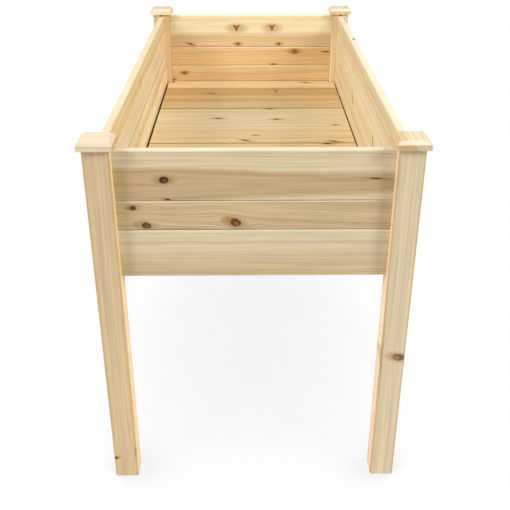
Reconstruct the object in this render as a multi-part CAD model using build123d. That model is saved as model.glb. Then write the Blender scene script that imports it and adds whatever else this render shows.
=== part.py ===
from build123d import *
import os

os.makedirs("parts", exist_ok=True)

# All sizes are in millimetres. X is the width, Y the length and Z is up; the front end faces -Y.

# Overall size, measured over the caps
overall_width = 610.0
overall_length = 1220.0
overall_height = 762.0

# Legs
leg_size = 49.0
leg_edge_radius = 6.0
foot_bevel = 2.0

# Caps and the dowels that hold them
cap_overhang = 7.0
cap_thickness = 16.0
cap_slope_rise = 6.0
cap_slope_run = 7.5
cap_corner_bevel = 1.5
dowel_diameter = 8.0
dowel_in_leg = 22.0
dowel_in_cap = 8.0

# Wall boards
board_thickness = 16.0
wide_board_height = 97.0
narrow_board_height = 58.0
wall_drop = 6.0
seam_bevel = 2.0
top_edge_radius = 3.0

# Tongue and groove between boards
tongue_thickness = 5.0
tongue_height = 6.0

# Sliding dovetail between board ends and legs
tail_neck = 8.0
tail_root = 12.0
tail_depth = 10.0

# Floor
floor_panel_count = 4
floor_thickness = 14.0
floor_side_play = 4.0
floor_joint = 3.5
floor_edge_bevel = 0.5
notch_play = 4.0
rear_stave_width = 75.0
middle_stave_width = 112.0
floor_lay_shift = (2.0, 1.2, 0.8, 1.0)

# Ledgers and bearers under the floor
ledger_width = 20.0
ledger_height = 34.0
bearer_width = 40.0
lap_depth = 17.0
rail_edge_bevel = 1.0

# Countersunk wood screws
screw_shank = 4.0
screw_head = 8.0
screw_head_depth = 2.6
screw_tip = 5.0
screw_point_radius = 0.4
ledger_screw_length = 30.0
bearer_screw_length = 28.0
end_ledger_screws = 3
end_screw_margin = 70.0

# Clearances
slide_clearance = 0.2
shoulder_clearance = 0.3
tongue_clearance = 0.25
lap_clearance = 0.3
rail_end_clearance = 0.5
dowel_clearance = 0.05
dowel_end_clearance = 1.0
screw_clearance = 0.1

# Sizes that follow from the ones above
legs_width = overall_width - 2 * cap_overhang
legs_length = overall_length - 2 * cap_overhang
leg_height = overall_height - cap_thickness
leg_x = legs_width / 2 - leg_size / 2
leg_y = legs_length / 2 - leg_size / 2
wall_top = leg_height - wall_drop
wall_bottom = wall_top - 2 * wide_board_height - narrow_board_height
inner_half_width = leg_x - board_thickness / 2
inner_half_length = leg_y - board_thickness / 2
floor_underside = wall_bottom + ledger_height
panel_length = (2 * inner_half_length - (floor_panel_count + 1) * floor_joint) / floor_panel_count
panel_width = 2 * (inner_half_width - floor_side_play)

low = (Align.CENTER, Align.CENTER, Align.MIN)
high = (Align.CENTER, Align.CENTER, Align.MAX)


def save(shape, node):
    export_step(shape, f"parts/{node}.step")


def tail_outline(spread):
    # Dovetail seen from above, pointing along -Y from its shoulder line
    neck = tail_neck / 2 + spread
    root = tail_root / 2 + spread
    depth = tail_depth + spread
    return make_face(Polyline((-neck, 0), (neck, 0), (root, -depth), (-root, -depth), close=True))


def make_leg():
    # Square post with its two dovetail grooves on the +X and +Y faces
    leg = Box(leg_size, leg_size, leg_height, align=low)
    leg = fillet(leg.edges().filter_by(Axis.Z), leg_edge_radius)
    leg = chamfer(leg.faces().sort_by(Axis.Z)[0].edges(), foot_bevel)
    groove = extrude(tail_outline(slide_clearance), leg_height - wall_bottom)
    leg -= Pos(0, leg_size / 2, wall_bottom) * groove
    leg -= Pos(leg_size / 2, 0, wall_bottom) * Rot(0, 0, -90) * groove
    hole_depth = dowel_in_leg + dowel_end_clearance
    hole = Cylinder(dowel_diameter / 2 + dowel_clearance, hole_depth, align=low)
    return leg - Pos(0, 0, leg_height - hole_depth) * hole


def make_cap():
    # Square cap with a sloped upper edge and a blind dowel hole below
    size = leg_size + 2 * cap_overhang
    cap = Box(size, size, cap_thickness, align=low)
    top = cap.faces().sort_by(Axis.Z)[-1]
    cap = chamfer(top.edges(), cap_slope_run, cap_slope_rise, reference=top)
    hips = cap.edges().filter_by(lambda e: abs(e.tangent_at(0.5).Z) > 0.1)
    cap = chamfer(hips, cap_corner_bevel)
    hole_depth = dowel_in_cap + dowel_end_clearance
    return cap - Cylinder(dowel_diameter / 2 + dowel_clearance, hole_depth, align=low)


def board_section(height, is_top, is_bottom):
    # Cross-section of a wall board: tongue up, groove down, with eased edges
    section = Rectangle(board_thickness, height, align=(Align.CENTER, Align.MIN))
    upper = section.vertices().group_by(Axis.Y)[-1]
    section = fillet(upper, top_edge_radius) if is_top else chamfer(upper, seam_bevel)
    section = chamfer(section.vertices().group_by(Axis.Y)[0], seam_bevel)
    if not is_top:
        section += Pos(0, height) * Rectangle(tongue_thickness, 2 * tongue_height)
    if not is_bottom:
        groove_width = tongue_thickness + 2 * tongue_clearance
        section -= Rectangle(groove_width, 2 * (tongue_height + tongue_clearance))
    return section


def make_board(height, shoulder_length, is_top=False, is_bottom=False):
    # Board along Y with a dovetail at each end, its lower edge at Z = 0
    full_length = shoulder_length + 2 * tail_depth
    section = board_section(height, is_top, is_bottom)
    board = extrude(Plane.XZ * section, full_length / 2, both=True)
    tail = Pos(0, -shoulder_length / 2) * tail_outline(0)
    plan = Rectangle(board_thickness, shoulder_length) + tail + Rot(0, 0, 180) * tail
    blank = extrude(plan, height + 2 * tongue_height)
    return board & (Pos(0, 0, -tongue_height) * blank)


def make_screw(length):
    # Countersunk screw with the top of its head at Z = 0, pointing down
    head = Cone(screw_shank / 2, screw_head / 2, screw_head_depth, align=high)
    shank = Pos(0, 0, screw_tip - length) * Cylinder(screw_shank / 2, length - screw_tip, align=low)
    tip = Pos(0, 0, -length) * Cone(screw_point_radius, screw_shank / 2, screw_tip, align=low)
    return head + shank + tip


def screw_hole(length):
    # Hole for a countersunk screw, with its clearance all round
    spread = screw_clearance
    head = Cone(screw_shank / 2 + spread, screw_head / 2 + spread, screw_head_depth, align=high)
    shank = Cylinder(screw_shank / 2 + spread, length + spread, align=high)
    return head + shank


def make_rail(width, height, length):
    # Plain rail along Y with eased long edges, its lower face at Z = 0
    rail = Box(width, length, height, align=low)
    return chamfer(rail.edges().filter_by(Axis.Y), rail_edge_bevel)


# Legs: one shape turned to face inward at each corner
leg = make_leg()
cap = make_cap()
dowel = Cylinder(dowel_diameter / 2, dowel_in_leg + dowel_in_cap, align=low)
corners = {
    "front_left": (-leg_x, -leg_y, 0),
    "front_right": (leg_x, -leg_y, 90),
    "rear_right": (leg_x, leg_y, 180),
    "rear_left": (-leg_x, leg_y, 270),
}
dowels = []
for corner, (x, y, turn) in corners.items():
    save(Pos(x, y, 0) * Rot(0, 0, turn) * leg, f"leg_{corner}")
    save(Pos(x, y, leg_height) * cap, f"cap_{corner}")
    dowels.append(Pos(x, y, leg_height - dowel_in_leg) * dowel)
save(Compound(children=dowels), "cap_dowels")

# Screw places: side ledgers between the bearers, end ledgers spread along their length
panel_pitch = panel_length + floor_joint
panel_start = -inner_half_length + floor_joint
panel_middles = [panel_start + panel_length / 2 + i * panel_pitch for i in range(floor_panel_count)]
seam_places = [(a + b) / 2 for a, b in zip(panel_middles, panel_middles[1:])]
ledger_middle = wall_bottom + ledger_height / 2
side_screw_x = inner_half_width - ledger_width
end_screw_y = inner_half_length - ledger_width
end_ledger_length = 2 * (side_screw_x - rail_end_clearance)
end_spread = end_ledger_length - 2 * end_screw_margin
end_places = [end_spread * (i / (end_ledger_screws - 1) - 0.5) for i in range(end_ledger_screws)]
ledger_screw = make_screw(ledger_screw_length)
ledger_hole = screw_hole(ledger_screw_length)


def at_right(y):
    return Pos(side_screw_x, y, ledger_middle) * Rot(0, -90, 0)


def at_rear(x):
    return Pos(x, end_screw_y, ledger_middle) * Rot(90, 0, 0)


# Wall boards: the right and rear walls are made, and turned half round for the left and front
right_holes = [at_right(y) * ledger_hole for y in panel_middles]
rear_holes = [at_rear(x) * ledger_hole for x in end_places]
half_turn = Rot(0, 0, 180)
walls = {
    "side": (legs_length - 2 * leg_size, Pos(leg_x, 0, 0), right_holes, "right", "left"),
    "end": (legs_width - 2 * leg_size, Pos(0, leg_y, 0) * Rot(0, 0, 90), rear_holes, "rear", "front"),
}
for wall, (span, place, holes, here, opposite) in walls.items():
    shoulder_length = span - 2 * shoulder_clearance
    rows = {
        "bottom": (wall_bottom, make_board(wide_board_height, shoulder_length, is_bottom=True)),
        "middle": (wall_bottom + wide_board_height, make_board(narrow_board_height, shoulder_length)),
        "top": (wall_top - wide_board_height, make_board(wide_board_height, shoulder_length, is_top=True)),
    }
    for row, (z, board) in rows.items():
        board = place * Pos(0, 0, z) * board
        if row == "bottom":
            board -= holes
        save(board, f"{here}_{wall}_board_{row}")
        save(half_turn * board, f"{opposite}_{wall}_board_{row}")

# Side ledgers, each notched from above for the floor bearers
side_ledger = make_rail(ledger_width, ledger_height, 2 * (leg_y - leg_size / 2 - rail_end_clearance))
side_ledger = Pos(inner_half_width - ledger_width / 2, 0, wall_bottom) * side_ledger
notch = Box(
    3 * ledger_width,
    bearer_width + 2 * lap_clearance,
    2 * lap_depth,
)
bearer_hole = screw_hole(bearer_screw_length)
bearer_screw = make_screw(bearer_screw_length)
lap_x = inner_half_width - ledger_width / 2
lap_places = [Pos(lap_x, y, floor_underside) for y in seam_places]
side_ledger -= [Pos(inner_half_width, y, floor_underside) * notch for y in seam_places]
side_ledger -= [place * bearer_hole for place in lap_places]
side_ledger -= right_holes
save(side_ledger, "side_ledger_right")
save(half_turn * side_ledger, "side_ledger_left")

# End ledgers, between the side ledgers
end_ledger = Rot(0, 0, 90) * make_rail(ledger_width, ledger_height, end_ledger_length)
end_ledger = Pos(0, inner_half_length - ledger_width / 2, wall_bottom) * end_ledger
end_ledger -= rear_holes
save(end_ledger, "end_ledger_rear")
save(half_turn * end_ledger, "end_ledger_front")

# Floor bearers, half-lapped over the side ledgers under each joint of the floor
bearer = Rot(0, 0, 90) * make_rail(bearer_width, ledger_height, 2 * (inner_half_width - rail_end_clearance))
under_lap = Box(
    2 * (ledger_width + lap_clearance),
    2 * bearer_width,
    ledger_height - lap_depth,
    align=low,
)
bearer -= [Pos(side * inner_half_width, 0, 0) * under_lap for side in (-1, 1)]
bearer -= [Pos(side * lap_x, 0, ledger_height) * bearer_hole for side in (-1, 1)]
for name, y in zip(("front", "middle", "rear"), seam_places):
    save(Pos(0, y, wall_bottom) * bearer, f"floor_bearer_{name}")

# Screw groups
side_screws = [at_right(y) * ledger_screw for y in panel_middles]
end_screws = [at_rear(x) * ledger_screw for x in end_places]
lap_screws = [place * bearer_screw for place in lap_places]
save(Compound(children=side_screws + [half_turn * s for s in side_screws]), "side_ledger_screws")
save(Compound(children=end_screws + [half_turn * s for s in end_screws]), "end_ledger_screws")
save(Compound(children=lap_screws + [half_turn * s for s in lap_screws]), "bearer_screws")

# Floor panels: three staves glued edge to edge, laid loose and cut out round the legs
front_stave_width = panel_length - rear_stave_width - middle_stave_width
notch_size = leg_size + 2 * notch_play
notches = [Pos(x, y, floor_underside) * Box(notch_size, notch_size, 4 * floor_thickness)
           for x, y, turn in corners.values()]
for number, (middle, shift) in enumerate(zip(panel_middles, floor_lay_shift), start=1):
    panel = Pos(0, middle, floor_underside) * Box(panel_width, panel_length, floor_thickness, align=low)
    panel = chamfer(panel.faces().sort_by(Axis.Z)[-1].edges(), floor_edge_bevel)
    panel -= notches
    front_edge = middle - panel_length / 2
    for stave, width in enumerate((front_stave_width, middle_stave_width, rear_stave_width), start=1):
        strip = Box(2 * panel_width, width, 4 * floor_thickness)
        piece = panel & (Pos(0, front_edge + width / 2, floor_underside) * strip)
        save(Pos(shift, 0, 0) * piece, f"floor_panel_{number}_stave_{stave}")
        front_edge += width
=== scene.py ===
import bpy
import math
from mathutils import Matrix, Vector


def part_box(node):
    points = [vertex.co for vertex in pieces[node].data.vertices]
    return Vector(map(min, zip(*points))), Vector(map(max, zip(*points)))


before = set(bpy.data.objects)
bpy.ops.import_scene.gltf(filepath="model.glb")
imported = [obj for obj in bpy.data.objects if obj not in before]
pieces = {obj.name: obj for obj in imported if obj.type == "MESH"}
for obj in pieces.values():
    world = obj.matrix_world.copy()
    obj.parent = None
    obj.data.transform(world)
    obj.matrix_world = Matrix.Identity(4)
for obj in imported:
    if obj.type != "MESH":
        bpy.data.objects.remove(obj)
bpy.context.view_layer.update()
print("frame loaded:", len(pieces), "pieces")


def linear(hexCode):
    parts = [int(hexCode[i:i + 2], 16) / 255 for i in (0, 2, 4)]
    return tuple(c / 12.92 if c <= 0.04045 else ((c + 0.055) / 1.055) ** 2.4 for c in parts) + (1.0,)


def boxInMm(node):
    return [corner * 1000 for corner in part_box(node)]


def add(tree, kind, links, **settings):
    made = tree.nodes.new("ShaderNode" + kind)
    for name, value in settings.items():
        setattr(made, name, value)
    for socket, source in links.items():
        if isinstance(source, bpy.types.NodeSocket):
            tree.links.new(source, made.inputs[socket])
        else:
            made.inputs[socket].default_value = source
    return made.outputs


def newGroup(name, takes, gives):
    tree = bpy.data.node_groups.new(name, "ShaderNodeTree")
    for way, kinds in (("INPUT", takes), ("OUTPUT", gives)):
        for kind, sockets in kinds.items():
            for socket in sockets.split():
                tree.interface.new_socket(socket, in_out=way, socket_type="NodeSocket" + kind)
    return tree, tree.nodes.new("NodeGroupInput").outputs, tree.nodes.new("NodeGroupOutput").inputs


# board coordinates are in mm: x along the grain, y across the board, z through it
# bump and pale are in mm, and the rest of a knot is in shares of its own radius
knotLook = {
    "edge": 1.25, "bump": 7.0, "bumpDepth": 0.5,  # the outline, and how ragged it is
    "flank": 2.0, "blunt": 0.5, "hollow": 0.32,  # a wedge: its sides, its corners and its paler inside
    "roundMiddle": (0.2, -0.22, 0), "wedgeMiddle": (0.0, 0.35, 0),  # the middle lies off centre
    "middle": (0.8, 0.25), "pale": (4.2, 8.0),  # it fades outwards, and small knots have none
    "haloShape": (0.34, 0.62, 1), "halo": (1.25, 0.35),  # longest along the grain
    "flow": (0.4, 0.9, 1),  # what the grain flows round
}


def makeKnotGroup(look):
    # a branch cut across: dark bark ring, paler middle, a smoky halo, and grain that flows round it
    tree, given, out = newGroup(
        "fir knot",
        {"Vector": "Point Grain Place", "Float": "Core Middle Halo Radius Stretch Depth Tilt Pull Wedge"},
        {"Vector": "Grain", "Float": "Core Middle Halo"})
    off = add(tree, "VectorMath", {0: given["Point"], 1: given["Place"]}, operation="SUBTRACT")[0]
    turned = add(tree, "VectorRotate", {"Vector": off, "Angle": given["Tilt"]}, rotation_type="Z_AXIS")[0]
    longRadius = add(tree, "Math", {0: given["Radius"], 1: given["Stretch"]}, operation="MULTIPLY")[0]
    size = add(tree, "CombineXYZ", {0: longRadius, 1: given["Radius"], 2: given["Depth"]})[0]
    unit = add(tree, "VectorMath", {0: turned, 1: size}, operation="DIVIDE")[0]
    roundReach = add(tree, "VectorMath", {0: unit}, operation="LENGTH")["Value"]

    # a branch cut lengthwise shows as a wedge, point down
    part = add(tree, "SeparateXYZ", {0: unit})
    spread = add(tree, "Math", {0: part[0]}, operation="ABSOLUTE")[0]
    flank = add(tree, "Math", {0: spread, 1: look["flank"]}, operation="MULTIPLY")[0]
    slope = add(tree, "Math", {0: flank, 1: part[1]}, operation="SUBTRACT")[0]
    wedgeReach = add(tree, "Math", {0: slope, 1: part[1], 2: look["blunt"]}, operation="SMOOTH_MAX")[0]
    reach = add(tree, "Mix", {0: given["Wedge"], 2: roundReach, 3: wedgeReach})[0]

    # the stub of the branch, with its paler middle
    bumps = add(tree, "TexNoise", {"Vector": given["Point"], "Scale": 1 / look["bump"], "Detail": 2.0})[0]
    edge = add(tree, "Math", {0: bumps, 1: -look["bumpDepth"], 2: look["edge"]},
               operation="MULTIPLY_ADD")[0]
    stub = add(tree, "Math", {0: edge, 1: reach}, operation="SUBTRACT")[0]
    centre = add(tree, "Mix", {0: given["Wedge"], 4: look["roundMiddle"], 5: look["wedgeMiddle"]},
                 data_type="VECTOR")[1]
    aside = add(tree, "VectorMath", {0: unit, 1: centre}, operation="SUBTRACT")[0]
    asideReach = add(tree, "VectorMath", {0: aside}, operation="LENGTH")["Value"]
    middle = add(tree, "MapRange", {0: asideReach, 1: look["middle"][0], 2: look["middle"][1]})[0]
    hollow = add(tree, "Math", {0: middle, 1: given["Wedge"]}, operation="MULTIPLY")[0]
    core = add(tree, "Math", {0: hollow, 1: -look["hollow"], 2: stub}, operation="MULTIPLY_ADD")[0]
    coreMax = add(tree, "Math", {0: given["Core"], 1: core}, operation="MAXIMUM")[0]
    big = add(tree, "MapRange", {0: given["Radius"], 1: look["pale"][0], 2: look["pale"][1]})[0]
    pale = add(tree, "Math", {0: middle, 1: big}, operation="MULTIPLY")[0]
    middleMax = add(tree, "Math", {0: given["Middle"], 1: pale}, operation="MAXIMUM")[0]

    drawn = add(tree, "VectorMath", {0: unit, 1: look["haloShape"]}, operation="MULTIPLY")[0]
    drawnReach = add(tree, "VectorMath", {0: drawn}, operation="LENGTH")["Value"]
    halo = add(tree, "MapRange", {0: drawnReach, 1: look["halo"][0], 2: look["halo"][1]},
               interpolation_type="SMOOTHSTEP")[0]
    haloMax = add(tree, "Math", {0: given["Halo"], 1: halo}, operation="MAXIMUM")[0]

    # the grain follows the streamlines round a cylinder
    around = add(tree, "VectorMath", {0: unit, 1: look["flow"]}, operation="MULTIPLY")[0]
    square = add(tree, "VectorMath", {0: around, 1: around}, operation="DOT_PRODUCT")["Value"]
    far = add(tree, "Math", {0: square, 1: 1.0}, operation="MAXIMUM")[0]
    offAcross = add(tree, "SeparateXYZ", {0: off})[1]
    push = add(tree, "Math", {0: offAcross, 1: far}, operation="DIVIDE")[0]
    pushed = add(tree, "Math", {0: push, 1: given["Pull"]}, operation="MULTIPLY")[0]
    shift = add(tree, "CombineXYZ", {0: 0.0, 1: pushed, 2: 0.0})[0]
    bent = add(tree, "VectorMath", {0: given["Grain"], 1: shift}, operation="SUBTRACT")[0]
    for name, source in (("Grain", bent), ("Core", coreMax), ("Middle", middleMax), ("Halo", haloMax)):
        tree.links.new(source, out[name])
    return tree


# a bend has its length along the grain and its width across it, in mm
# a pattern has what it follows, the same two sizes, and the detail and roughness of its noise
# real fibres are too fine to show here, so they are drawn 1.2 mm wide
firLook = {
    "seedStep": (613.0, 229.0, 97.0),  # mm between the wood of one seed and the next
    "bends": {"slow": (300, 70), "small": (60, 12)}, "smallBend": 3.0, "sway": 2.0,
    "patterns": {"fibre": ("lines", 90, 1.2, 2.0, 0.6), "fine": ("lines", 170, 2.6, 1.0, 0.5),
                 "streak": ("lines", 420, 5, 2.0, 0.5), "hue": ("lines", 240, 14, 1.0, 0.5),
                 "mottle": ("spot", 200, 40, 2.0, 0.5), "speck": ("spot", 2.4, 2.4, 2.0, 0.5)},
    "yearGroup": 18.0,  # mm of years that are alike
    "tones": {"fibre": (0.92, 1.05), "fine": (0.92, 1.08), "streak": (0.92, 1.07), "years": (0.93, 1.06),
              "mottle": (0.94, 1.05)},  # how far each darkens and lightens the wood
    "toneSpread": (0.25, 0.75),
    "rise": (0.2, 0.85), "fall": (0.85, 1.0), "weakYear": 0.15,  # the late wood of one year
    "late": "E0AE78", "heartTone": (0.95, 1.04),
    "pink": "FFFCFF", "olive": "FDFFF7", "hueSpread": (0.35, 0.65),
    "smoke": "C09A64", "smokeStrength": 0.55, "branchSpread": (0.08, 0.5), "stubEdge": (-0.13, 0.18),
    "lateHeight": 0.6, "stubHeight": -0.5,  # late wood stands proud, and a knot lies lower
    "roughSpread": (0.3, 0.7), "roughness": (0.74, 0.6),
}


def makeFirGroup(look):
    # rings about the pith, cut by the faces of the board, give straight grain, arches and end grain alike
    tree, given, out = newGroup(
        "fir grain",
        {"Vector": "Point Grain Pith", "Color": "Sap Heartwood Bark Branch",
         "Float": "Core Middle Halo Drift Slope Wander Spacing Heart Soft Contrast Seed"},
        {"Color": "Color", "Float": "Height Roughness Knot"})
    step = add(tree, "VectorMath", {0: look["seedStep"], "Scale": given["Seed"]}, operation="SCALE")[0]
    spot = add(tree, "VectorMath", {0: given["Point"], 1: step}, operation="ADD")[0]
    flow = add(tree, "VectorMath", {0: given["Grain"], 1: step}, operation="ADD")[0]

    # slow bends and small ones keep the rings from running true, and the slow ones sway the fibres
    bends = {}
    for name, (along, across) in look["bends"].items():
        scale = (1 / along, 1 / across, 1 / across)
        at = add(tree, "VectorMath", {0: flow, 1: scale}, operation="MULTIPLY")[0]
        noise = add(tree, "TexNoise", {"Vector": at, "Scale": 1.0, "Detail": 1.0})[0]
        bends[name] = add(tree, "Math", {0: noise, 1: 0.5}, operation="SUBTRACT")[0]
    sway = add(tree, "Math", {0: bends["slow"], 1: given["Wander"]}, operation="MULTIPLY")[0]
    sideways = add(tree, "CombineXYZ", {0: 0.0, 1: sway, 2: 0.0})[0]
    swayed = add(tree, "VectorMath", {0: sideways, "Scale": look["sway"]}, operation="SCALE")[0]
    lines = add(tree, "VectorMath", {0: flow, 1: swayed}, operation="ADD")[0]

    grain = add(tree, "SeparateXYZ", {0: given["Grain"]})
    pith = add(tree, "SeparateXYZ", {0: given["Pith"]})
    run, side, deep = [add(tree, "Math", {0: place, 1: centre}, operation="SUBTRACT")[0]
                       for place, centre in zip(grain, pith)]
    deeper = add(tree, "Math", {0: run, 1: given["Drift"], 2: deep}, operation="MULTIPLY_ADD")[0]
    aslant = add(tree, "Math", {0: run, 1: given["Slope"], 2: side}, operation="MULTIPLY_ADD")[0]
    cross = add(tree, "CombineXYZ", {0: aslant, 1: deeper, 2: 0.0})[0]
    trueRadius = add(tree, "VectorMath", {0: cross}, operation="LENGTH")["Value"]
    bent = add(tree, "Math", {0: bends["slow"], 1: given["Wander"], 2: trueRadius},
               operation="MULTIPLY_ADD")[0]
    radius = add(tree, "Math", {0: bends["small"], 1: look["smallBend"], 2: bent},
                 operation="MULTIPLY_ADD")[0]

    # each year: pale early wood, then a narrow darker band of late wood, some years stronger than others
    year = add(tree, "Math", {0: radius, 1: given["Spacing"]}, operation="DIVIDE")[0]
    season = add(tree, "Math", {0: year}, operation="FRACT")[0]
    count = add(tree, "Math", {0: year}, operation="FLOOR")[0]
    label = add(tree, "Math", {0: count, 1: given["Seed"]}, operation="ADD")[0]
    strength = add(tree, "TexWhiteNoise", {"W": label}, noise_dimensions="1D")["Value"]
    rise = add(tree, "MapRange", {0: season, 1: look["rise"][0], 2: look["rise"][1]},
               interpolation_type="SMOOTHSTEP")[0]
    fall = add(tree, "MapRange", {0: season, 1: look["fall"][0], 2: look["fall"][1], 3: 1.0, 4: 0.0},
               interpolation_type="SMOOTHSTEP")[0]
    band = add(tree, "Math", {0: rise, 1: fall}, operation="MULTIPLY")[0]
    uneven = add(tree, "MapRange", {0: strength, 3: look["weakYear"], 4: 1.0})[0]
    late = add(tree, "Math", {0: band, 1: uneven}, operation="MULTIPLY")[0]
    lateMix = add(tree, "Math", {0: late, 1: given["Contrast"]}, operation="MULTIPLY")[0]

    # heartwood inside the stated radius, darkest at its rim, and sapwood outside
    low = add(tree, "Math", {0: given["Heart"], 1: given["Soft"]}, operation="SUBTRACT")[0]
    high = add(tree, "Math", {0: given["Heart"], 1: given["Soft"]}, operation="ADD")[0]
    heart = add(tree, "MapRange", {0: radius, 1: high, 2: low}, interpolation_type="SMOOTHSTEP")[0]
    rim, core = look["heartTone"]
    inner = add(tree, "MapRange", {0: radius, 1: given["Heart"], 2: 0.0, 3: rim, 4: core})[0]
    heartTone = add(tree, "VectorMath", {0: given["Heartwood"], "Scale": inner}, operation="SCALE")[0]
    ground = add(tree, "Mix", {0: heart, 6: given["Sap"], 7: heartTone}, data_type="RGBA")[2]
    lateTint = add(tree, "Mix", {0: 1.0, 6: ground, 7: linear(look["late"])}, data_type="RGBA",
                   blend_type="MULTIPLY")[2]
    ringed = add(tree, "Mix", {0: lateMix, 6: ground, 7: lateTint}, data_type="RGBA")[2]

    # fibres, streaks, groups of years and a slow mottle
    patterns = {}
    for name, (follows, along, across, detail, roughness) in look["patterns"].items():
        base = {"lines": lines, "spot": spot}[follows]
        scale = (1 / along, 1 / across, 1 / across)
        at = add(tree, "VectorMath", {0: base, 1: scale}, operation="MULTIPLY")[0]
        patterns[name] = add(tree, "TexNoise", {"Vector": at, "Scale": 1.0, "Detail": detail,
                                                "Roughness": roughness})[0]
    yearsAt = add(tree, "Math", {0: radius, 1: 1 / look["yearGroup"], 2: given["Seed"]},
                  operation="MULTIPLY_ADD")[0]
    patterns["years"] = add(tree, "TexNoise", {"W": yearsAt, "Scale": 1.0, "Detail": 1.0},
                            noise_dimensions="1D")[0]
    tone = 1.0
    first, last = look["toneSpread"]
    for name, (dark, light) in look["tones"].items():
        part = add(tree, "MapRange", {0: patterns[name], 1: first, 2: last, 3: dark, 4: light})[0]
        tone = add(tree, "Math", {0: part, 1: tone}, operation="MULTIPLY")[0]
    toned = add(tree, "VectorMath", {0: ringed, "Scale": tone}, operation="SCALE")[0]
    # the wood turns from pink to olive and back
    first, last = look["hueSpread"]
    turn = add(tree, "MapRange", {0: patterns["hue"], 1: first, 2: last})[0]
    tint = add(tree, "Mix", {0: turn, 6: linear(look["pink"]), 7: linear(look["olive"])},
               data_type="RGBA")[2]
    tinted = add(tree, "Mix", {0: 1.0, 6: toned, 7: tint}, data_type="RGBA", blend_type="MULTIPLY")[2]

    # knots over the grain
    haloMix = add(tree, "Math", {0: given["Halo"], 1: look["smokeStrength"]}, operation="MULTIPLY")[0]
    smoked = add(tree, "Mix", {0: 1.0, 6: tinted, 7: linear(look["smoke"])}, data_type="RGBA",
                 blend_type="MULTIPLY")[2]
    warmed = add(tree, "Mix", {0: haloMix, 6: tinted, 7: smoked}, data_type="RGBA")[2]
    lighter = add(tree, "Math", {0: patterns["speck"], 1: given["Middle"]}, operation="MULTIPLY")[0]
    first, last = look["branchSpread"]
    middle = add(tree, "MapRange", {0: lighter, 1: first, 2: last}, interpolation_type="SMOOTHSTEP")[0]
    stub = add(tree, "Mix", {0: middle, 6: given["Bark"], 7: given["Branch"]}, data_type="RGBA")[2]
    first, last = look["stubEdge"]
    coreMix = add(tree, "MapRange", {0: given["Core"], 1: first, 2: last},
                  interpolation_type="SMOOTHSTEP")[0]
    final = add(tree, "Mix", {0: coreMix, 6: warmed, 7: stub}, data_type="RGBA")[2]

    fibre = patterns["fibre"]
    raised = add(tree, "Math", {0: late, 1: look["lateHeight"], 2: fibre}, operation="MULTIPLY_ADD")[0]
    height = add(tree, "Math", {0: coreMix, 1: look["stubHeight"], 2: raised}, operation="MULTIPLY_ADD")[0]
    first, last = look["roughSpread"]
    dull, bright = look["roughness"]
    rough = add(tree, "MapRange", {0: fibre, 1: first, 2: last, 3: dull, 4: bright})[0]
    for name, source in (("Color", final), ("Height", height), ("Roughness", rough), ("Knot", coreMix)):
        tree.links.new(source, out[name])
    return tree


knotGroup = makeKnotGroup(knotLook)
firGroup = makeFirGroup(firLook)
print("grain groups built")

# what every board has unless its own entry says otherwise
# the heartwood's radius and its soft rim, the bends and the width of a year are in mm
# drift and slope are how far the pith leans through and across the board, in mm per mm
plainFir = {
    "wood": "planed fir", "sap": "EEDDBA", "heartwood": "DBBE92", "heart": 10, "soft": 6,
    "drift": 0.0, "slope": 0.0, "wander": 9.0, "spacing": 4.5, "contrast": 0.5,
    "bark": "4C3217", "branch": "8E6446", "endGrain": "F0DECD",
    "knots": (), "knotDepth": 400.0, "outerKnots": (), "edges": {},
}
grainLay = {"end": "XZY", "side": "YZX", "floor": "XYZ", "leg": "ZXY"}  # along, across and through
faceKnot = 9.0  # mm that a knot goes in where it shows on one face only
clearOfKnots = -9.0  # the value of a knot's core far outside it

# where a shade starts and where it is full: mm from a line, or a part of the face's normal
shadeLook = {
    "endGrain": (0.6, 0.95),
    "seam": (2.6, 0.9), "seamShade": "9A7A4C", "patch": 110.0, "patchSpread": (0.4, 0.6), "patchLeast": 0.45,
    "inward": (0.4, 0.8), "floorLine": (0.5, -1.5), "inwardShade": "8A5A26",
    "rim": (2.4, 0.4), "joint": (0.8, 0.3), "edges": (0.15, 0.45), "coveredShade": (0.6, 0.9),
}
floorTop = boxInMm("floor_panel_1_stave_1")[1].z
# painted highlights: along the upper arris of the boards, and on the sloped faces of the caps with their
# rise and run in mm
highlightLook = {
    "arris": (-2.8, -1.6), "arrisHighlight": "FCEFD2", "arrisStrength": 0.6,
    "slope": (6.0, 7.5), "slopeSpread": 0.15, "upward": (0.4, 0.6), "slopeStrength": 0.6,
}
surfaceLook = {"bump": 0.25, "bumpHeight": 0.0005, "specular": 0.2}  # height in metres


def growWood(tree, look, point, through):
    # each knot bends the grain, and the next knot and the rings follow it
    state = {"Grain": point, "Core": clearOfKnots, "Middle": 0.0, "Halo": 0.0}
    placed = [(look.get("knotAt", through), look["knotDepth"], knot) for knot in look["knots"]]
    placed += [(look["outerAt"], faceKnot, knot) for knot in look["outerKnots"]]
    for at, depth, (along, across, radius, stretch, tilt, pull, *wedge) in placed:
        knot = {"Place": (along, across, at), "Radius": radius, "Stretch": stretch, "Depth": depth,
                "Tilt": math.radians(tilt), "Pull": pull, "Wedge": wedge[0] if wedge else 0.0}
        made = add(tree, "Group", {"Point": point, **state, **knot}, node_tree=knotGroup)
        state = {name: made[name] for name in state}
    numbers = ("pith", "drift", "slope", "wander", "spacing", "heart", "soft", "contrast", "seed")
    colours = ("sap", "heartwood", "bark", "branch")
    log = {name.capitalize(): look[name] for name in numbers}
    log.update({name.capitalize(): linear(look[name]) for name in colours})
    return add(tree, "Group", {"Point": point, **state, **log}, node_tree=firGroup)


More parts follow.
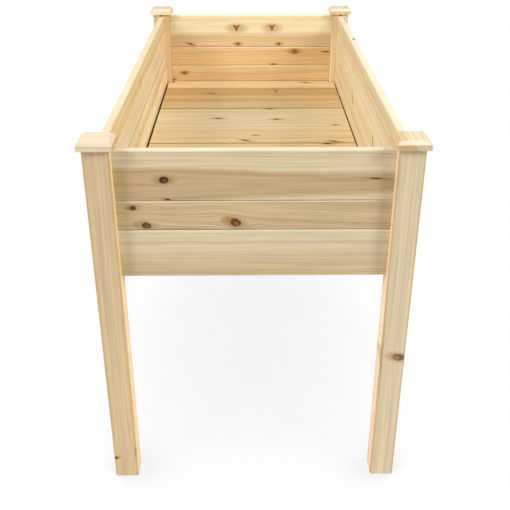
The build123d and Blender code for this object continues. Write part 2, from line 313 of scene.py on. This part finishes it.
def findShades(tree, look, axes, facing, endwise):
    # end grain drinks in light; painted shade darkens the seams, the joints of the floor, the inner faces
    # below the floor line, the rounded corners of the legs and the tops of the rails under the floor
    along, across = look["axes"][:2]
    first, full = shadeLook["endGrain"]
    shades = [(add(tree, "MapRange", {0: endwise, 1: first, 2: full})[0], look["endGrain"])]
    # painted shade in the seam: darkest at the foot of the board, broken up along it
    if "seam" in look:
        first, full = [look["seam"] + mm for mm in shadeLook["seam"]]
        up = add(tree, "MapRange", {0: axes[across], 1: first, 2: full}, interpolation_type="SMOOTHSTEP")[0]
        patchAt = add(tree, "Math", {0: axes[along], 1: 1 / shadeLook["patch"], 2: look["seed"]},
                      operation="MULTIPLY_ADD")[0]
        patch = add(tree, "TexNoise", {"W": patchAt, "Scale": 1.0, "Detail": 2.0}, noise_dimensions="1D")[0]
        first, full = shadeLook["patchSpread"]
        broken = add(tree, "MapRange", {0: patch, 1: first, 2: full, 3: shadeLook["patchLeast"], 4: 1.0})[0]
        seamShadeMask = add(tree, "Math", {0: up, 1: broken}, operation="MULTIPLY")[0]
        shades.append((seamShadeMask, shadeLook["seamShade"]))
    if "inward" in look:
        axis, sign = look["inward"]
        inner = add(tree, "Math", {0: facing[axis], 1: sign}, operation="MULTIPLY")[0]
        first, full = shadeLook["inward"]
        innerFace = add(tree, "MapRange", {0: inner, 1: first, 2: full})[0]
        first, full = [floorTop + mm for mm in shadeLook["floorLine"]]
        below = add(tree, "MapRange", {0: axes["Z"], 1: first, 2: full})[0]
        hidden = add(tree, "Math", {0: innerFace, 1: below}, operation="MULTIPLY")[0]
        shades.append((hidden, shadeLook["inwardShade"]))
    # painted shade in a thin line along the stave's outer side, over the gap
    if "rim" in look:
        gap = add(tree, "Math", {0: axes[across], 1: look["rim"]}, operation="SUBTRACT")[0]
        near = add(tree, "Math", {0: gap}, operation="ABSOLUTE")[0]
        first, full = shadeLook["rim"]
        shades.append((add(tree, "MapRange", {0: near, 1: first, 2: full})[0], look["joint"]))
    # painted shade on the sides and ends of the staves, down in the gaps
    if "joint" in look:
        level = add(tree, "Math", {0: facing["Z"]}, operation="ABSOLUTE")[0]
        first, full = shadeLook["joint"]
        shades.append((add(tree, "MapRange", {0: level, 1: first, 2: full})[0], look["joint"]))
    # painted shade on the rounded corners of the legs, where the normal turns between x and y
    first, full = shadeLook["edges"]
    for sign, tint in look["edges"].items():
        turning = add(tree, "Math", {0: facing["X"], 1: facing["Y"]}, operation="MULTIPLY")[0]
        corner = add(tree, "Math", {0: turning, 1: sign}, operation="MULTIPLY")[0]
        shades.append((add(tree, "MapRange", {0: corner, 1: first, 2: full})[0], tint))
    # painted shade on the faces that look up
    if "coveredShade" in look:
        first, full = shadeLook["coveredShade"]
        shades.append((add(tree, "MapRange", {0: facing["Z"], 1: first, 2: full})[0], look["coveredShade"]))
    return shades


def findPaintedHighlights(tree, look, axes, facing, endwise, knot):
    paintedHighlights = []
    if "arris" in look:
        # a painted highlight along the upper arris of a board, kept off its knots
        first, full = [look["arris"] + mm for mm in highlightLook["arris"]]
        most = highlightLook["arrisStrength"]
        edge = add(tree, "MapRange", {0: axes["Z"], 1: first, 2: full, 3: 0.0, 4: most})[0]
        clear = add(tree, "Math", {0: 1.0, 1: knot}, operation="SUBTRACT")[0]
        planed = add(tree, "Math", {0: edge, 1: clear}, operation="MULTIPLY")[0]
        paintedHighlights.append((planed, highlightLook["arrisHighlight"]))
    if "slopeHighlight" in look:
        # a painted highlight on the upward slopes of a cap that run across its grain
        lean = math.sin(math.atan2(*highlightLook["slope"]))
        across = add(tree, "Math", {0: endwise, 1: lean, 2: highlightLook["slopeSpread"]},
                     operation="COMPARE")[0]
        first, full = highlightLook["upward"]
        most = highlightLook["slopeStrength"]
        upward = add(tree, "MapRange", {0: facing["Z"], 1: first, 2: full, 3: 0.0, 4: most})[0]
        cut = add(tree, "Math", {0: across, 1: upward}, operation="MULTIPLY")[0]
        paintedHighlights.append((cut, look["slopeHighlight"]))
    return paintedHighlights


def planedFir(node, look):
    # planed softwood with no finish: low gloss, late wood standing slightly proud
    look = {**plainFir, **look}
    low, high = boxInMm(node)
    centre = dict(zip("XYZ", (low + high) / 2))
    mat = bpy.data.materials.new(look["wood"] + " " + node)
    mat.use_nodes = True
    tree = mat.node_tree
    place = add(tree, "TexCoord", {})["Object"]
    mm = add(tree, "VectorMath", {0: place, "Scale": 1000.0}, operation="SCALE")[0]
    axes = dict(zip("XYZ", add(tree, "SeparateXYZ", {0: mm})))
    point = add(tree, "CombineXYZ", {i: axes[a] for i, a in enumerate(look["axes"])})[0]
    wood = growWood(tree, look, point, centre[look["axes"][2]])

    normal = add(tree, "NewGeometry", {})["Normal"]
    facing = dict(zip("XYZ", add(tree, "SeparateXYZ", {0: normal})))
    endwise = add(tree, "Math", {0: facing[look["axes"][0]]}, operation="ABSOLUTE")[0]
    colour = wood["Color"]
    for factor, tint in findShades(tree, look, axes, facing, endwise):
        colour = add(tree, "Mix", {0: factor, 6: colour, 7: linear(tint)}, data_type="RGBA",
                     blend_type="MULTIPLY")[2]
    for factor, tint in findPaintedHighlights(tree, look, axes, facing, endwise, wood["Knot"]):
        colour = add(tree, "Mix", {0: factor, 6: colour, 7: linear(tint)}, data_type="RGBA")[2]

    bump = add(tree, "Bump", {"Height": wood["Height"], "Strength": surfaceLook["bump"],
                              "Distance": surfaceLook["bumpHeight"]})[0]
    shader = tree.nodes["Principled BSDF"].inputs
    for socket, source in (("Base Color", colour), ("Roughness", wood["Roughness"]), ("Normal", bump)):
        tree.links.new(source, shader[socket])
    shader["Specular IOR Level"].default_value = surfaceLook["specular"]
    return mat


def dress(node, mat):
    slots = pieces[node].data.materials
    slots.clear()
    slots.append(mat)


# wall boards; a knot is along, across, radius, stretch, tilt, how far it bends the grain, and 1 for a wedge
frontWall = {
    "top": {"sap": "EBD8B3", "heartwood": "D8BB8D", "pith": (0, 676.5, -552.2), "heart": 43, "soft": 2.5,
            "drift": -0.018, "wander": 8, "contrast": 0.3, "seed": 1.3, "bark": "50300C",
            "knots": [(-160, 684, 6.7, 1.25, 0, 1), (-155, 646.5, 1.7, 3, 8, 1), (215, 686, 1.4, 8, 3, 1)]},
    "middle": {"heartwood": "DCC59A", "pith": (0, 430, -650), "heart": 400, "drift": 0.012, "slope": 0.045,
               "wander": 7, "spacing": 3.4, "contrast": 0.65, "seed": 2.1, "bark": "6A4218",
               "knots": [(-218, 630, 5, 1.1, 0, 1), (-196, 595, 6.6, 1.35, 12, 1),
                         (-34, 600, 8.4, 1.15, 20, 1)]},
    "bottom": {"sap": "EBDAB6", "heartwood": "E3CBA0", "pith": (0, 400, -600), "heart": 132, "soft": 22,
               "wander": 5, "spacing": 3.6, "contrast": 0.5, "seed": 3.7},
}
rearWall = {
    "top": {"sap": "F7EBC8", "heartwood": "E5CCA0", "pith": (0, 600, 600), "heart": 88, "soft": 9,
            "wander": 7, "contrast": 0.4, "seed": 4.2,
            "knots": [(-45, 701, 10.5, 1.25, 0, 0.2, 1), (65, 701, 10.5, 1.15, 0, 0.2, 1),
                      (-41, 653, 5.2, 1.3, 0, 1), (87, 653, 4.6, 1.3, 0, 1), (-189, 653, 3.2, 2.6, 18, 1)]},
    "middle": {"heartwood": "EBD19E", "pith": (0, 520, 640), "heart": 400, "drift": 0.03, "wander": 8,
               "contrast": 0.6, "seed": 5.4,
               "knots": [(137, 629, 7.4, 1.2, 0, 1), (235, 628, 2.6, 3, 0, 1), (70, 588, 3.6, 1.5, 0, 1)]},
    "bottom": {"heartwood": "EDD4A4", "pith": (0, 450, 650), "heart": 400, "drift": 0.04, "wander": 9,
               "contrast": 0.6, "seed": 6.8,
               "knots": [(-211, 562, 5.3, 1.3, 0, 1), (-245, 541, 2.6, 1.4, 0, 1)]},
}
# the knots of the side boards show on their outer faces only; inside are a few branches cut lengthwise
leftWall = {
    "top": {"sap": "FCEFCC", "heartwood": "FBE5B6", "pith": (0, 840, -273.5), "heart": 151, "soft": 6,
            "wander": 6, "spacing": 6, "contrast": 0.5, "seed": 7.1, "knots": [(-42, 704, 2.2, 4.5, 75, 0)],
            "outerKnots": [(420, 676, 5, 1.5, 0, 1), (-260, 704, 4, 1.6, 0, 1), (60, 660, 6, 1.3, 0, 1)]},
    "middle": {"pith": (0, 530, -273.5), "heart": 66, "soft": 7, "wander": 6, "spacing": 6, "contrast": 0.5,
               "seed": 8.6, "outerKnots": [(-340, 617, 5, 1.4, 0, 1), (190, 602, 3.5, 1.6, 0, 1)]},
    "bottom": {"sap": "FCF0CE", "pith": (0, 650, -340), "heart": 70, "soft": 12, "drift": 0.006,
               "contrast": 0.5, "seed": 9.4,
               "outerKnots": [(-90, 540, 7, 1.3, 0, 1), (350, 525, 4.5, 1.5, 0, 1)]},
}
rightWall = {
    "top": {"sap": "FDF1D2", "heartwood": "FAEAC6", "pith": (0, 840, 273.5), "heart": 150, "soft": 8,
            "wander": 7, "spacing": 6, "contrast": 0.4, "seed": 10.9,
            "outerKnots": [(250, 739, 5, 1.8, 0, 0.3), (-330, 695, 5, 1.4, 0, 1),
                           (120, 668, 4, 1.5, 0, 1)]},
    "middle": {"pith": (0, 520, 360), "heart": 60, "drift": -0.005, "spacing": 6, "contrast": 0.42,
               "seed": 11.2,
               "knots": [(409, 617, 2.2, 9, -67, 0), (128, 615, 2.4, 13, -45, 0),
                         (-236, 616, 2.4, 11, -61, 0)],
               "outerKnots": [(-120, 611, 5, 1.4, 0, 1), (400, 620, 3.5, 1.6, 0, 1)]},
    "bottom": {"pith": (0, 640, 273.5), "heart": 70, "soft": 7, "wander": 6, "contrast": 0.42, "seed": 12.5,
               "outerKnots": [(230, 545, 6, 1.3, 0, 1), (-430, 515, 5, 1.4, 0, 1)]},
}
# each row has painted shade along the seam at its foot, apart from the lowest, and a painted highlight
# along its top
rowFoot = {row: boxInMm("front_end_board_" + row)[0].z for row in frontWall}
wallTop = boxInMm("front_end_board_top")[1].z
rowEdges = {
    "top": {"seam": rowFoot["top"], "arris": wallTop},
    "middle": {"seam": rowFoot["middle"], "arris": rowFoot["top"]},
    "bottom": {"arris": rowFoot["middle"]},
}
leftOuter, leftInner = [corner.x for corner in boxInMm("left_side_board_middle")]
rightInner, rightOuter = [corner.x for corner in boxInMm("right_side_board_middle")]
wallTones = {
    "front_end": {"inward": ("Y", 1)},
    "rear_end": {"bark": "98692C", "inward": ("Y", -1)},
    "left_side": {"sap": "F8E8C2", "heartwood": "EED4A4", "bark": "7A5430", "knotAt": leftInner,
                  "knotDepth": faceKnot, "outerAt": leftOuter, "inward": ("X", 1)},
    "right_side": {"sap": "FAEBC9", "heartwood": "F4DEB4", "bark": "7A5430", "knotAt": rightInner,
                   "knotDepth": faceKnot, "outerAt": rightOuter, "inward": ("X", -1)},
}
for wall, kind, rows in (("front_end", "end", frontWall), ("rear_end", "end", rearWall),
                         ("left_side", "side", leftWall), ("right_side", "side", rightWall)):
    for row, look in rows.items():
        node = f"{wall}_board_{row}"
        dress(node, planedFir(node, {"axes": grainLay[kind], **wallTones[wall], **rowEdges[row], **look}))
print("walls dressed")

# legs, grain upright; painted shade on the rounded corners, with one tint for each sign of x times y of
# their normals
legFront = boxInMm("leg_front_left")[0].y
legRear = boxInMm("leg_rear_left")[1].y
legLooks = {
    "front_left": {"pith": (0, -700, -578), "heart": 447, "soft": 2, "wander": 3, "spacing": 7,
                   "contrast": 0.3, "seed": 13.3, "sap": "FCE5BC", "heartwood": "E8CDA3", "bark": "6B4A2E",
                   "edges": {-1: "E0CBAE", 1: "F6EAD6"},
                   "knots": [(52, -294, 3.2, 1.7, 112, 1)], "knotAt": legFront, "knotDepth": 14},
    "front_right": {"pith": (0, 700, -578), "heart": 447, "soft": 2, "wander": 4, "spacing": 8,
                    "contrast": 0.28, "seed": 14.6, "sap": "FCE6C8", "heartwood": "ECDAB7",
                    "bark": "86683A", "branch": "A88C58", "edges": {1: "E0CBAE", -1: "F2E4CC"},
                    "knots": [(310, 284, 8.5, 1.35, 80, 0.4)], "knotAt": legFront, "knotDepth": 30},
    "rear_left": {"pith": (0, -180, 700), "heart": 400, "drift": 0.02, "wander": 8, "contrast": 0.5,
                  "seed": 15.8, "heartwood": "E6CBA0",
                  "knots": [(330, -268, 6, 1.3, 0, 1)], "knotAt": legRear, "knotDepth": 30},
    "rear_right": {"pith": (0, 400, 700), "heart": 60, "drift": 0.02, "wander": 8, "contrast": 0.5,
                   "seed": 16.2,
                   "knots": [(140, 280, 7, 1.2, 0, 1)], "knotAt": legRear, "knotDepth": 30},
}
# caps, grain across the planter on the left and along it on the right
plainCap = {"sap": "F2E4C5", "heartwood": "E3C796", "wander": 3, "contrast": 0.3}
capLooks = {
    "front_left": {"axes": "XYZ", "pith": (0, -700, 680), "seed": 17.1},
    "front_right": {"axes": "YXZ", "sap": "F0E0BE", "heartwood": "E8CC99", "endGrain": "F6F0EC",
                    "slopeHighlight": "FFF1D8", "pith": (0, 225, 690), "heart": 81, "soft": 4, "seed": 18.2},
    "rear_left": {"axes": "XYZ", "pith": (0, 480, 690), "seed": 19.4},
    "rear_right": {"axes": "YXZ", "pith": (0, 380, 690), "slopeHighlight": "FFF1D8", "seed": 20.3},
}
for corner, look in legLooks.items():
    dress("leg_" + corner, planedFir("leg_" + corner, {"axes": grainLay["leg"], **look}))
    dress("cap_" + corner, planedFir("cap_" + corner, {**plainCap, **capLooks[corner]}))
print("legs and caps dressed")

# floor staves, by panel and stave from the front; pale ones are sapwood
floorFir = {"axes": grainLay["floor"], "drift": 0.01, "bark": "6B4A28", "joint": "E4C490"}
paleFir = {"heart": 10, "sap": "E7D5AD", "contrast": 0.45}
tanFir = {"heart": 400, "heartwood": "D7B780", "contrast": 0.7, "spacing": 3.6}
mixedFir = {"soft": 12, "sap": "DFC593", "heartwood": "D2B178", "contrast": 0.6, "spacing": 3.6}
stavePith = {"aside": 90, "up": 440}  # mm from the middle of the stave, and above the ground
floorLooks = {
    (1, 1): {**tanFir, "seed": 21.1},
    (1, 2): {**paleFir, "seed": 22.4},
    (1, 3): {**tanFir, "seed": 23.2},
    (2, 1): {**paleFir, "seed": 24.7},
    (2, 2): {**tanFir, "seed": 25.3, "knots": [(-60, -130, 6, 1.5, 0, 1)]},
    (2, 3): {**tanFir, "heartwood": "E9D3A2", "bark": "543818", "seed": 26.6,
             "knots": [(21, -54, 7.5, 1.5, 0, 1), (190, -6, 4.5, 2, 0, 1)]},
    (3, 1): {**tanFir, "heartwood": "E9D4A4", "bark": "8A6438", "seed": 27.8,
             "knots": [(9, 58, 3.6, 1.8, 0, 1), (-17, 20, 5, 2.4, 24, 1), (208, 12, 5, 2.2, 15, 1)]},
    (3, 2): {**paleFir, "bark": "7E5C28", "seed": 28.5,
             "knots": [(-92, 196, 5.5, 2, 0, 1), (68, 187, 5, 1.7, 0, 1), (225, 138, 4.5, 1.7, 0, 1)]},
    (3, 3): {**paleFir, "bark": "8A6438", "seed": 29.9, "knots": [(51, 279, 4.5, 2, 0, 1)]},
    (4, 1): {**mixedFir, "heart": 118, "seed": 30.2},
    (4, 2): {**mixedFir, "heart": 150, "bark": "8F6A36", "seed": 31.7,
             "knots": [(75, 460, 4.5, 2.4, 80, 1), (-120, 433, 5, 1.8, 25, 1)]},
    (4, 3): {**paleFir, "sap": "F0D9AB", "bark": "8F6A36", "seed": 32.4,
             "knots": [(172, 548, 5, 1.8, 10, 1)]},
}
for (panel, stave), look in floorLooks.items():
    node = f"floor_panel_{panel}_stave_{stave}"
    low, high = boxInMm(node)
    pith = (0, (low.y + high.y) / 2 + stavePith["aside"], stavePith["up"])
    # a line of painted shade along the first and last stave of each panel marks the open joints between
    # panels
    outerEdges = {1: low.y, 3: high.y}
    rim = {"rim": outerEdges[stave]} if stave in outerEdges else {}
    dress(node, planedFir(node, {**floorFir, "pith": pith, **rim, **look}))
print("floor dressed")

# rails under the floor, with painted shade on their tops, where the floor covers them
railFir = {"heart": 80, "soft": 12, "coveredShade": "C8A878"}
railPith = {"up": 440, "aside": 60}  # mm above the ground, and from the middle of the rail
railSeeds = {
    "end_ledger_front": 40.3, "end_ledger_rear": 42.0, "side_ledger_left": 50.5, "side_ledger_right": 52.2,
    "floor_bearer_front": 45.4, "floor_bearer_middle": 47.1, "floor_bearer_rear": 48.8,
}
for node, seed in railSeeds.items():
    kind = "side" if node.startswith("side_") else "end"
    low, high = boxInMm(node)
    centre = (low + high) / 2
    pith = (0, railPith["up"], (centre.x if kind == "side" else centre.y) + railPith["aside"])
    dress(node, planedFir(node, {"axes": grainLay[kind], "pith": pith, "seed": seed, **railFir}))


def zincPlate(look):
    # zinc-plated steel: bright and slightly yellow, with a fine blotch in the plating
    mat = bpy.data.materials.new("zinc plated steel")
    mat.use_nodes = True
    tree = mat.node_tree
    place = add(tree, "TexCoord", {})["Object"]
    blotch = add(tree, "TexNoise", {"Vector": place, "Scale": 1000 / look["blotch"], "Detail": 3.0})[0]
    tint = add(tree, "Mix", {0: blotch, 6: linear(look["dark"]), 7: linear(look["light"])},
               data_type="RGBA")[2]
    gloss = add(tree, "MapRange", {0: blotch, 3: look["gloss"][0], 4: look["gloss"][1]})[0]
    shader = tree.nodes["Principled BSDF"].inputs
    tree.links.new(tint, shader["Base Color"])
    tree.links.new(gloss, shader["Roughness"])
    shader["Metallic"].default_value = 1.0
    return mat


screwLook = {"dark": "A9A08A", "light": "D8D2BE", "blotch": 3.0, "gloss": (0.26, 0.44)}  # blotch in mm
zinc = zincPlate(screwLook)
for node in pieces:
    if node.endswith("_screws"):
        dress(node, zinc)
# beech dowels: browner than the fir, with narrow rings
dowelLook = {"wood": "beech", "axes": grainLay["leg"], "pith": (0, 0, 0), "spacing": 2, "sap": "DDB98A",
             "seed": 61.0}
dress("cap_dowels", planedFir("cap_dowels", dowelLook))
print("rails, dowels and screws dressed")


def seenDirectly(tree):
    rays = add(tree, "LightPath", {})
    seen = add(tree, "Math", {0: rays["Is Camera Ray"], 1: rays["Is Glossy Ray"]}, operation="MAXIMUM")[0]
    return add(tree, "Math", {0: seen, 1: rays["Is Transmission Ray"]}, operation="MAXIMUM")[0]


# paper floor: white, with the planter's own soft shadow where it covers the ground; sizes in metres
paperLook = {"paper": "F3F4F6", "size": 40.0, "reach": 1.2, "rays": 32, "shadow": (0.72, 0.60),
             "shade": "F4F4F4"}
white = linear("FFFFFF")
bpy.ops.mesh.primitive_plane_add(size=paperLook["size"])
paperFloor = bpy.context.object
paperFloor.name = "paper_floor"
mat = bpy.data.materials.new("white background paper")
mat.use_nodes = True
tree = mat.node_tree
tree.nodes.clear()
sheltered = add(tree, "AmbientOcclusion", {"Distance": paperLook["reach"]}, samples=paperLook["rays"])["AO"]
first, full = paperLook["shadow"]
shade = add(tree, "MapRange", {0: sheltered, 1: first, 2: full}, interpolation_type="SMOOTHSTEP")[0]
tint = add(tree, "Mix", {0: shade, 6: white, 7: linear(paperLook["shade"])}, data_type="RGBA")[2]
paper = add(tree, "BsdfDiffuse", {"Color": linear(paperLook["paper"])})[0]
glow = add(tree, "Emission", {"Color": tint, "Strength": 1.0})[0]
both = add(tree, "MixShader", {0: seenDirectly(tree), 1: paper, 2: glow})[0]
add(tree, "OutputMaterial", {"Surface": both})
paperFloor.data.materials.append(mat)

# the room: white where it is seen, and a weak even light on the planter
roomLook = {"fill": 0.14}
world = bpy.data.worlds.new("studio")
bpy.context.scene.world = world
world.use_nodes = True
tree = world.node_tree
tree.nodes.clear()
power = add(tree, "MapRange", {0: seenDirectly(tree), 3: roomLook["fill"], 4: 1.0})[0]
sky = add(tree, "Background", {"Color": white, "Strength": power})[0]
add(tree, "OutputWorld", {"Surface": sky})

# two soft boxes high up in front, one to each side, a weak strip above the bed, light thrown back by the
# paper in front of the feet, and two low boxes behind that reach the outer faces but not into the bed
lamps = {
    "left box": {"at": (-2.5, -1.75, 2.55), "aim": (0, 0, 0.5), "size": (0.8, 1.6), "watts": 71},
    "right box": {"at": (2.5, -1.75, 2.55), "aim": (0, 0, 0.5), "size": (0.8, 1.6), "watts": 71},
    "overhead strip": {"at": (0.0, 0.1, 2.0), "aim": (0, 0.1, 0.6), "size": (0.5, 1.2), "watts": 8.5},
    "foot strip": {"at": (0.0, -1.1, 0.08), "aim": (0, -0.6, 0.1), "size": (1.2, 0.12), "watts": 0.5},
    "rear left box": {"at": (-1.9, 1.9, 0.5), "aim": (0, 0, 0.5), "size": (0.9, 0.4), "watts": 13},
    "rear right box": {"at": (1.9, 1.9, 0.5), "aim": (0, 0, 0.5), "size": (0.9, 0.4), "watts": 13},
}
for name, lamp in lamps.items():
    data = bpy.data.lights.new(name, "AREA")
    data.shape = "RECTANGLE"
    data.size, data.size_y = lamp["size"]
    data.energy = lamp["watts"]
    box = bpy.data.objects.new(name, data)
    bpy.context.collection.objects.link(box)
    box.location = lamp["at"]
    back = Vector(lamp["at"]) - Vector(lamp["aim"])
    box.rotation_euler = back.to_track_quat("Z", "Y").to_euler()
    box.visible_camera = False
print("stage and lamps set")

# camera, at the photo's viewing angle; focal length and side of the photo in pixels, angles in degrees
cameraLook = {"at": (-0.0109, -1.8375, 1.2150), "pitch": 27.465, "yaw": 0.562, "focal": 766.7, "side": 510,
              "shift": -0.03}
data = bpy.data.cameras.new("camera")
data.lens = cameraLook["focal"] / cameraLook["side"] * data.sensor_width
data.shift_y = cameraLook["shift"]
camera = bpy.data.objects.new("camera", data)
bpy.context.collection.objects.link(camera)
camera.location = cameraLook["at"]
camera.rotation_euler = (math.radians(90 - cameraLook["pitch"]), 0, -math.radians(cameraLook["yaw"]))
bpy.context.scene.camera = camera
bpy.context.scene.view_settings.view_transform = "Standard"
